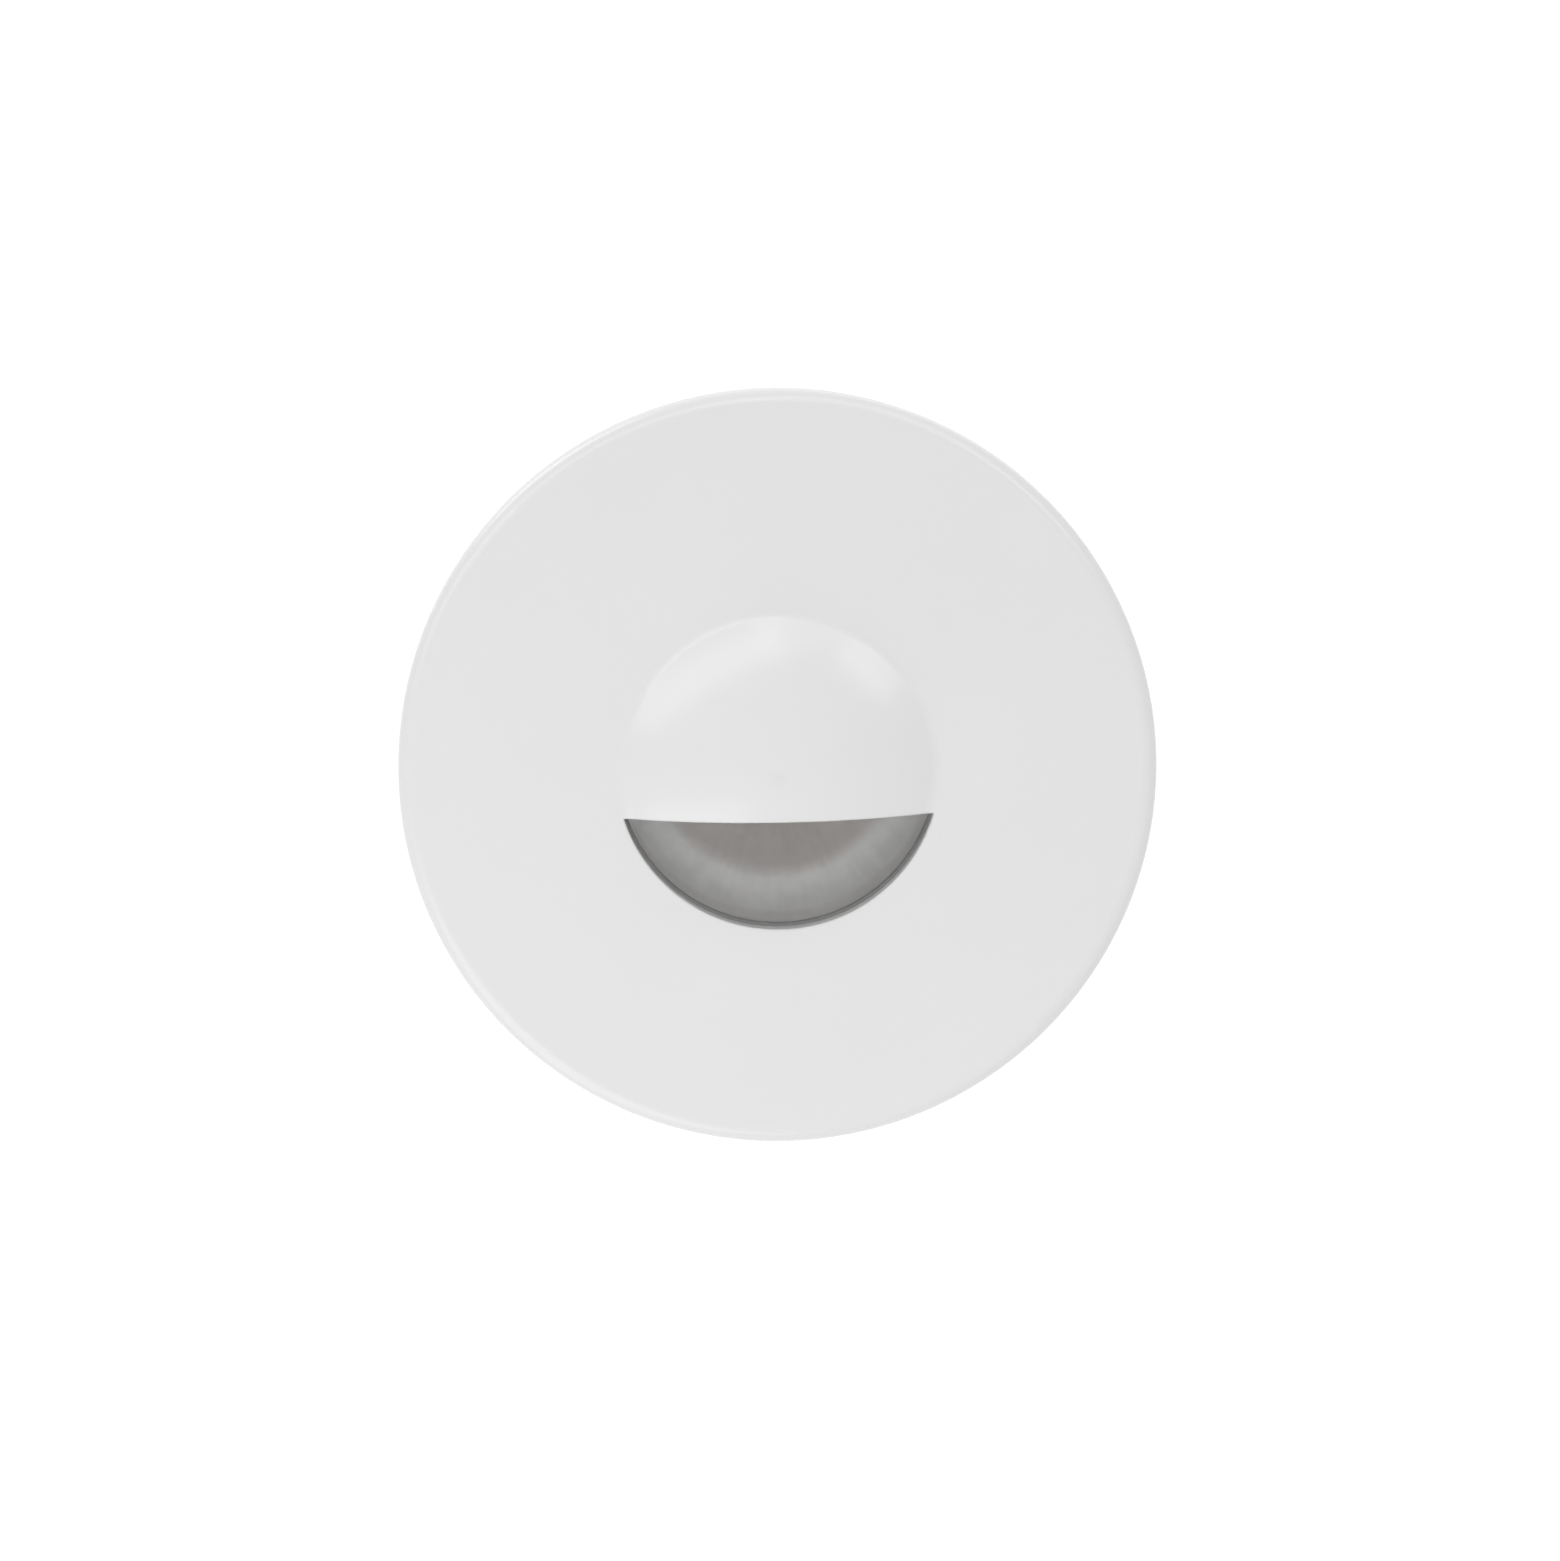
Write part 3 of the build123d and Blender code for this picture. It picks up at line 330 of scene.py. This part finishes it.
stripe_start = 0.0331
stripe_end = 0.0338
stripe_blur = 0.0001
finish, place = new_finish("capacitor_sleeve")
shrink = place.grain(0.0012, detail=3.0)
depth = place.along("Y")
past_start = depth.step(stripe_start, stripe_start + stripe_blur)
past_end = depth.step(stripe_end - stripe_blur, stripe_end)
sleeve = shrink.between(grey(0.012), (0.016, 0.020, 0.034, 1.0))
coat(finish, place, {
    "Base Color": (past_start - past_end).between(sleeve, grey(0.42)),
    "Roughness": 0.26 + 0.14 * shrink,
    "Normal": shrink.relief(depth=0.00002, edge=0.0001),
})
dress(finish, "input_capacitor", "output_capacitor")

finish, place = new_finish("black_resin")
speck = place.grain(0.0001, detail=3.0)
coat(finish, place, {
    "Base Color": speck.between(grey(0.016), grey(0.036)),
    "Roughness": 0.55 + 0.15 * speck,
    "Normal": speck.relief(depth=0.000012, edge=0.00012),
})
dress(finish, "bridge_rectifier", "driver_chip")

rings_per_metre = 620.0
finish, place = new_finish("resistor_coat")
lacquer = place.grain(0.0007, detail=3.0)
across = place.along("X")
reach = across.worked("FRACT", across * rings_per_metre)
ring = reach.step(0.30, 0.34) - reach.step(0.60, 0.64)
body = lacquer.between((0.10, 0.20, 0.26, 1.0), (0.14, 0.27, 0.34, 1.0))
coat(finish, place, {
    "Base Color": ring.between(body, (0.10, 0.045, 0.02, 1.0)),
    "Roughness": 0.32 + 0.12 * lacquer,
    "Normal": (lacquer + ring * 0.5).relief(depth=0.00002, edge=0.0001),
})
dress(finish, "fuse_resistor")

finish, place = new_finish("terminal_green")
mould = place.grain(0.0003, detail=3.0)
coat(finish, place, {
    "Base Color": mould.between((0.015, 0.20, 0.060, 1.0), (0.022, 0.26, 0.085, 1.0)),
    "Roughness": 0.38 + 0.12 * mould,
    "Normal": mould.relief(depth=0.00001, edge=0.00015),
})
dress(finish, "terminal_block")

# Rear cover and cable gland: glass-filled black nylon mouldings with a spark-eroded texture. The
# cover plugs into the can on a rubber seal, and the gland screws into its boss.
finish, place = new_finish("black_nylon")
texture = place.grain(0.00022, detail=3.0)
swirl = place.grain(0.005, detail=4.0)
coat(finish, place, {
    "Base Color": swirl.between(grey(0.014), grey(0.026)),
    "Roughness": 0.46 + 0.14 * texture,
    "Normal": texture.relief(depth=0.000022, edge=0.0003),
})
dress(finish, "rear_cover", "gland_body", "gland_nut")

# Reflector: a bowl turned from aluminium and bead blasted, so that it throws a soft beam. The step in
# its wall is a little smoother, and its colour holds painted light: painted shade with a warm painted
# reflection of the LED on the cone, a painted highlight on the band at the step and painted shade
# darkening it towards the rim. Fine rings of the lathe, faint streaks from the throat and smudges are
# left on it.
throat_shade_deepens = (0.0095, 0.0124)
throat_shade_ends = (0.0124, 0.0140)
ledge_starts = (0.0130, 0.0142)
ledge_ends = (0.0150, 0.0164)
rim_shade_spreads = (0.0150, 0.0174)
mark_limits = (0.35, 0.65)
finish, place = new_finish("satin_aluminium")
across = place.along("X")
bearing = across.worked("ARCTAN2", across, place.along("Z"))
radius = place.off_axis()
lathe = place.node("CombineXYZ", {}, {"X": radius, "Y": place.along("Y"), "Z": bearing * 0.0006})
rings = lathe.grain(0.00016, detail=2.0)
spokes = place.node("CombineXYZ", {}, {"X": bearing * 0.012, "Y": radius * 0.12})
streaks = spokes.grain(0.0008, detail=3.0).step(*mark_limits)
smudges = place.grain(0.0022, detail=3.0).step(*mark_limits)
# Painted shade with a warm painted reflection of the LED: the cone is warm near the axis and painted
# darker out towards the step.
painted_throat_shade = radius.step(*throat_shade_deepens).between((1.0, 0.962, 0.948, 1.0), (0.93, 0.890, 0.876, 1.0))
ledge = radius.step(*ledge_starts) - radius.step(*ledge_ends)
# Painted highlight and painted shade: the band at the step is painted brightest, and painted shade
# darkens the wall out to the rim.
wall = radius.step(*rim_shade_spreads).between(grey(1.0), grey(0.94))
# The metal's own colour, with the painted shade, highlight and reflection above laid into it.
blasted_with_painted_light = radius.step(*throat_shade_ends).between(painted_throat_shade, wall)
coat(finish, place, {
    "Base Color": (rings * 0.1 + streaks * 0.15 + smudges * 0.3).between(blasted_with_painted_light, grey(0.86)),
    "Metallic": 1.0,
    "Roughness": 0.84 + 0.10 * rings + 0.04 * streaks - 0.12 * ledge,
    "Normal": (rings + streaks * 0.12).relief(depth=0.000008, edge=0.0002),
})
dress(finish, "reflector")

# Glass and its seals: a toughened flat disc with ground edges, held between two silicone rings. The
# front ring's lip is the dark line round the window.
finish, place = new_finish("grey_silicone")
bloom = place.grain(0.0015, detail=3.0)
coat(finish, place, {
    "Base Color": bloom.between(grey(0.24), grey(0.30)),
    "Roughness": 0.5 + 0.15 * bloom,
    "Normal": bloom.relief(depth=0.00001, edge=0.0001),
})
dress(finish, "window_seal", "lens_gasket")

head_on_gloss = 0.04
finish, place = new_finish("clear_glass")
clear = place.node("BsdfTransparent", {}, {"Color": (0.99, 0.99, 0.988, 1.0)})
gloss = place.node("BsdfPrincipled", {}, {"Base Color": grey(0.95), "Metallic": 1.0, "Roughness": 0.03})
slant = place.node("LayerWeight", {}, {"Blend": 0.5}, "Facing")
mirrored = head_on_gloss + (1.0 - head_on_gloss) * slant ** 5.0
close(finish, place.node("MixShader", {}, {0: mirrored, 1: clear, 2: gloss}))
dress(finish, "glass_lens")

# Face plate: a die-cast aluminium disc with its eyelid hood, powder coated in satin white. The coat
# has a faint orange peel and pulls round over the edges. The hood's crown is the pole of its mesh, so
# the direction of the surface is taken from the dome's centre there.
dome_centre = (0.0, 0.0195, 0.0)
crown_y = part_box("front_plate")[0].y
crown_fades_outward = (0.0017, 0.0023)
crown_fades_inward = (crown_y + 0.0004, crown_y + 0.0008)
finish, place = new_finish("white_paint")
peel = place.grain(0.0011, detail=2.0)
drift = place.grain(0.014, detail=2.0)
near_axis = 1.0 - place.off_axis().step(*crown_fades_outward)
near_top = 1.0 - place.along("Y").step(*crown_fades_inward)
from_centre = place.node("VectorMath", {"operation": "SUBTRACT"}, {0: place, 1: dome_centre})
spaces = {"vector_type": "NORMAL", "convert_from": "OBJECT", "convert_to": "WORLD"}
from_centre_in_world = place.node("VectorTransform", spaces, {"Vector": from_centre})
outward = place.node("VectorMath", {"operation": "NORMALIZE"}, {0: from_centre_in_world})
surface = (near_axis * near_top).leaning(place.rounded(0.0004), outward)
coat(finish, place, {
    "Base Color": drift.between(grey(0.785), grey(0.805)),
    "Roughness": 0.21 + 0.04 * peel + 0.02 * drift,
    "Specular IOR Level": 1.0,
    "Normal": peel.raised(depth=0.000008, normal=surface),
})
dress(finish, "front_plate")

# Wall gasket: a ring of closed-cell foam in the plate's hollow back, squeezed between the plate and
# the wall so that its inner and outer edges bulge.
low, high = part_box("wall_gasket")
foam_width = 0.005
foam_outer = high.x
foam_inner = foam_outer - foam_width
foam_half = (high.y - low.y) / 2
bulge_centre = foam_inner + foam_half
bulge_sides = 24
foam_steps = 144
foam_mesh = bmesh.new()
bmesh.ops.create_circle(foam_mesh, segments=bulge_sides, radius=foam_half)
bmesh.ops.translate(foam_mesh, verts=foam_mesh.verts, vec=(bulge_centre, low.y + foam_half, 0.0))
outer_side = [v for v in foam_mesh.verts if v.co.x > bulge_centre]
bmesh.ops.translate(foam_mesh, verts=outer_side, vec=(foam_outer - foam_inner - 2 * foam_half, 0.0, 0.0))
bmesh.ops.spin(
    foam_mesh,
    geom=foam_mesh.verts[:] + foam_mesh.edges[:],
    cent=(0.0, 0.0, 0.0),
    axis=(0.0, 1.0, 0.0),
    angle=2 * math.pi,
    steps=foam_steps,
    use_merge=True,
)
bmesh.ops.recalc_face_normals(foam_mesh, faces=foam_mesh.faces)


def piece(name, mesh, finish):
    """Makes an object of a bmesh, smooth shaded, with its finish."""
    data = bpy.data.meshes.new(name)
    mesh.to_mesh(data)
    mesh.free()
    data.materials.append(finish)
    data.shade_smooth()
    made = bpy.data.objects.new(name, data)
    bpy.context.scene.collection.objects.link(made)
    return made


finish, place = new_finish("gasket_foam")
cells = place.node("TexVoronoi", {}, {"Vector": place, "Scale": 2600.0})
lumps = place.grain(0.002, detail=3.0)
coat(finish, place, {
    "Base Color": (cells * 0.6 + lumps * 0.4).between(grey(0.020), grey(0.060)),
    "Roughness": 0.8 + 0.15 * lumps,
    "Normal": cells.relief(depth=0.00012, edge=0.0001),
})
foam = piece("wall_gasket_foam", foam_mesh, finish)
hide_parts("wall_gasket")
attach(foam, "light_body")

# Clips: brackets and arms pressed from spring steel strip and tumbled bright, turning on riveted
# steel pins. Two screws hold each bracket to its flat on the can.
finish, place = new_finish("spring_steel")
rolled = place.stretched((0.06, 0.06, 1.0)).grain(0.00012, detail=3.0)
temper = place.grain(0.004, detail=3.0)
coat(finish, place, {
    "Base Color": temper.between((0.52, 0.52, 0.52, 1.0), (0.62, 0.61, 0.59, 1.0)),
    "Metallic": 1.0,
    "Roughness": 0.24 + 0.14 * rolled + 0.08 * temper,
    "Normal": rolled.relief(depth=0.000008, edge=0.0002),
})
dress(finish, "clip_bracket_left", "clip_bracket_right", "clip_arm_left", "clip_arm_right")

# Clip springs: torsion springs of drawn wire, four turns on the pin. One leg rests on the bracket and
# the other pushes the arm forward, so the coil winds up as the arm folds back.
wire_radius = 0.00035
wire_sides = 16
coil_radius = 0.00165
coil_turns = 4
coil_turn = 2 * math.pi * coil_turns + math.radians(42.0)
coil_pitch = 0.0012
coil_height = coil_pitch * coil_turn / (2 * math.pi)
coil_steps = 200
lead_angle = math.atan2(coil_pitch, 2 * math.pi * coil_radius)
rise = math.sin(lead_angle)
flat = math.cos(lead_angle)
end_bearing = math.pi + coil_turn
leg_length = 0.004
pin_reach = 0.0273
pin_depth = 0.020


def only(kind, geometry):
    """Those parts of an operator's result that are of one kind."""
    return [part for part in geometry if isinstance(part, kind)]


finish, place = new_finish("spring_wire")
drawn = place.grain(0.0002, detail=3.0)
coat(finish, place, {
    "Base Color": drawn.between((0.34, 0.33, 0.32, 1.0), (0.46, 0.45, 0.44, 1.0)),
    "Metallic": 1.0,
    "Roughness": 0.26 + 0.14 * drawn,
    "Normal": drawn.relief(depth=0.000006, edge=0.00005),
})
for side, hand in (("right", 1.0), ("left", -1.0)):
    wire = bmesh.new()
    ring_of_wire = bmesh.ops.create_circle(wire, segments=wire_sides, radius=wire_radius)["verts"]
    tilt = Matrix.Rotation(math.pi / 2 - lead_angle, 3, "X")
    bmesh.ops.rotate(wire, verts=ring_of_wire, cent=(0.0, 0.0, 0.0), matrix=tilt)
    bmesh.ops.translate(wire, verts=ring_of_wire, vec=(-coil_radius, 0.0, -coil_height / 2))
    start_edges = wire.edges[:]
    wound = bmesh.ops.spin(
        wire,
        geom=wire.verts[:] + start_edges,
        cent=(0.0, 0.0, 0.0),
        axis=(0.0, 0.0, 1.0),
        dvec=(0.0, 0.0, coil_height / coil_steps),
        angle=coil_turn,
        steps=coil_steps,
    )
    end_edges = only(bmesh.types.BMEdge, wound["geom_last"])
    legs = (
        (start_edges, Vector((0.0, flat, -rise))),
        (end_edges, Vector((-flat * math.sin(end_bearing), flat * math.cos(end_bearing), rise))),
    )
    for edges, run in legs:
        grown = bmesh.ops.extrude_edge_only(wire, edges=edges)["geom"]
        bmesh.ops.translate(wire, verts=only(bmesh.types.BMVert, grown), vec=run * leg_length)
        bmesh.ops.contextual_create(wire, geom=only(bmesh.types.BMEdge, grown))
    pivot = Vector((hand * pin_reach, pin_depth, 0.0))
    bmesh.ops.scale(wire, verts=wire.verts, vec=(hand, 1.0, 1.0))
    bmesh.ops.translate(wire, verts=wire.verts, vec=pivot)
    bmesh.ops.recalc_face_normals(wire, faces=wire.faces)
    spring = piece("clip_spring_wire_" + side, wire, finish)
    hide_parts("clip_spring_" + side)
    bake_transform(spring)

# Stage: a wide pale floor well below the light, and an even white surround. Both look white to the
# eye, in metal and in glass, and the floor keeps the light's shadow.
scene = bpy.context.scene
scene.view_settings.view_transform = "Standard"
floor_level = -0.25
floor_radius = 12.0
floor_sides = 96
floor_glow = 0.40
ambient = 0.729


def seen(tree):
    """Tone that is 1 for what is looked at, also in metal and glass, and 0 for what lights a piece."""
    rays = tree.nodes.new("ShaderNodeLightPath").outputs
    return Tone(rays["Is Camera Ray"]) + Tone(rays["Is Glossy Ray"]) + Tone(rays["Is Transmission Ray"])


floor_mesh = bmesh.new()
bmesh.ops.create_circle(floor_mesh, cap_ends=True, segments=floor_sides, radius=floor_radius)
bmesh.ops.translate(floor_mesh, verts=floor_mesh.verts, vec=(0.0, 0.0, floor_level))
finish, place = new_finish("floor_paint")
coat(finish, place, {
    "Base Color": grey(0.86),
    "Roughness": 0.9,
    "Emission Color": seen(finish.node_tree).between(grey(0.0), grey(floor_glow)),
    "Emission Strength": 1.0,
})
floor = piece("floor", floor_mesh, finish)

surround = bpy.data.worlds.new("surround")
surround.use_nodes = True
surround.node_tree.nodes.clear()
in_view = seen(surround.node_tree)
strength = ambient + (1.0 - ambient) * in_view
glow = in_view.node("Background", {}, {"Color": grey(1.0), "Strength": strength})
output = surround.node_tree.nodes.new("ShaderNodeOutputWorld")
surround.node_tree.links.new(glow.socket, output.inputs["Surface"])
scene.world = surround

# Lamps: soft boxes, as in a small studio. A tall one at the upper left and a small one at the upper
# right make the hood's two highlights, two fill in from above and below, and one behind lights the
# plate's rim at the upper left.


def soft_box(name, place, turn, width, height, radiance):
    """Lamp that looks at the light's face, turned about its own axis in degrees. Sizes in metres."""
    lamp = bpy.data.lights.new(name, "AREA")
    lamp.shape = "RECTANGLE"
    lamp.size = width
    lamp.size_y = height
    lamp.energy = radiance * math.pi * width * height
    box = bpy.data.objects.new(name, lamp)
    box.location = place
    box.rotation_mode = "QUATERNION"
    roll = Quaternion((0.0, 0.0, 1.0), math.radians(turn))
    box.rotation_quaternion = (-Vector(place)).to_track_quat("-Z", "Y") @ roll
    scene.collection.objects.link(box)


soft_box("key_upper_left", (-0.495, -0.659, 0.566), turn=-48.0, width=0.29, height=1.36, radiance=1.05)
soft_box("spark_upper_right", (0.559, -0.507, 0.491), turn=32.0, width=0.17, height=0.40, radiance=1.55)
soft_box("fill_above", (0.22, -0.36, 0.80), turn=0.0, width=0.8, height=0.5, radiance=0.6)
soft_box("fill_lower_left", (-0.10, -0.13, -0.16), turn=0.0, width=0.2, height=0.2, radiance=0.70)
soft_box("rim_upper_left", (-0.55, 0.50, 0.65), turn=0.0, width=0.5, height=0.5, radiance=1.4)

# Camera: a long lens almost square to the face, a little to the left of it and above, and slightly
# turned. It stands far enough off that the plate shows hardly any perspective.
aim = Vector((0.00022, -0.0025, -0.00142))
view_distance = 1.2
view_azimuth = math.radians(-1.4)
view_elevation = math.radians(8.2)
view_roll = math.radians(-0.87)
lens_length = 262.4
sensor_width = 36.0
forward = Vector((
    -math.sin(view_azimuth) * math.cos(view_elevation),
    math.cos(view_azimuth) * math.cos(view_elevation),
    -math.sin(view_elevation),
))
camera_data = bpy.data.cameras.new("camera")
camera_data.sensor_width = sensor_width
camera_data.lens = lens_length
camera = bpy.data.objects.new("camera", camera_data)
camera.location = aim - forward * view_distance
camera.rotation_mode = "QUATERNION"
camera.rotation_quaternion = forward.to_track_quat("-Z", "Y") @ Quaternion((0.0, 0.0, 1.0), view_roll)
scene.collection.objects.link(camera)
scene.camera = camera
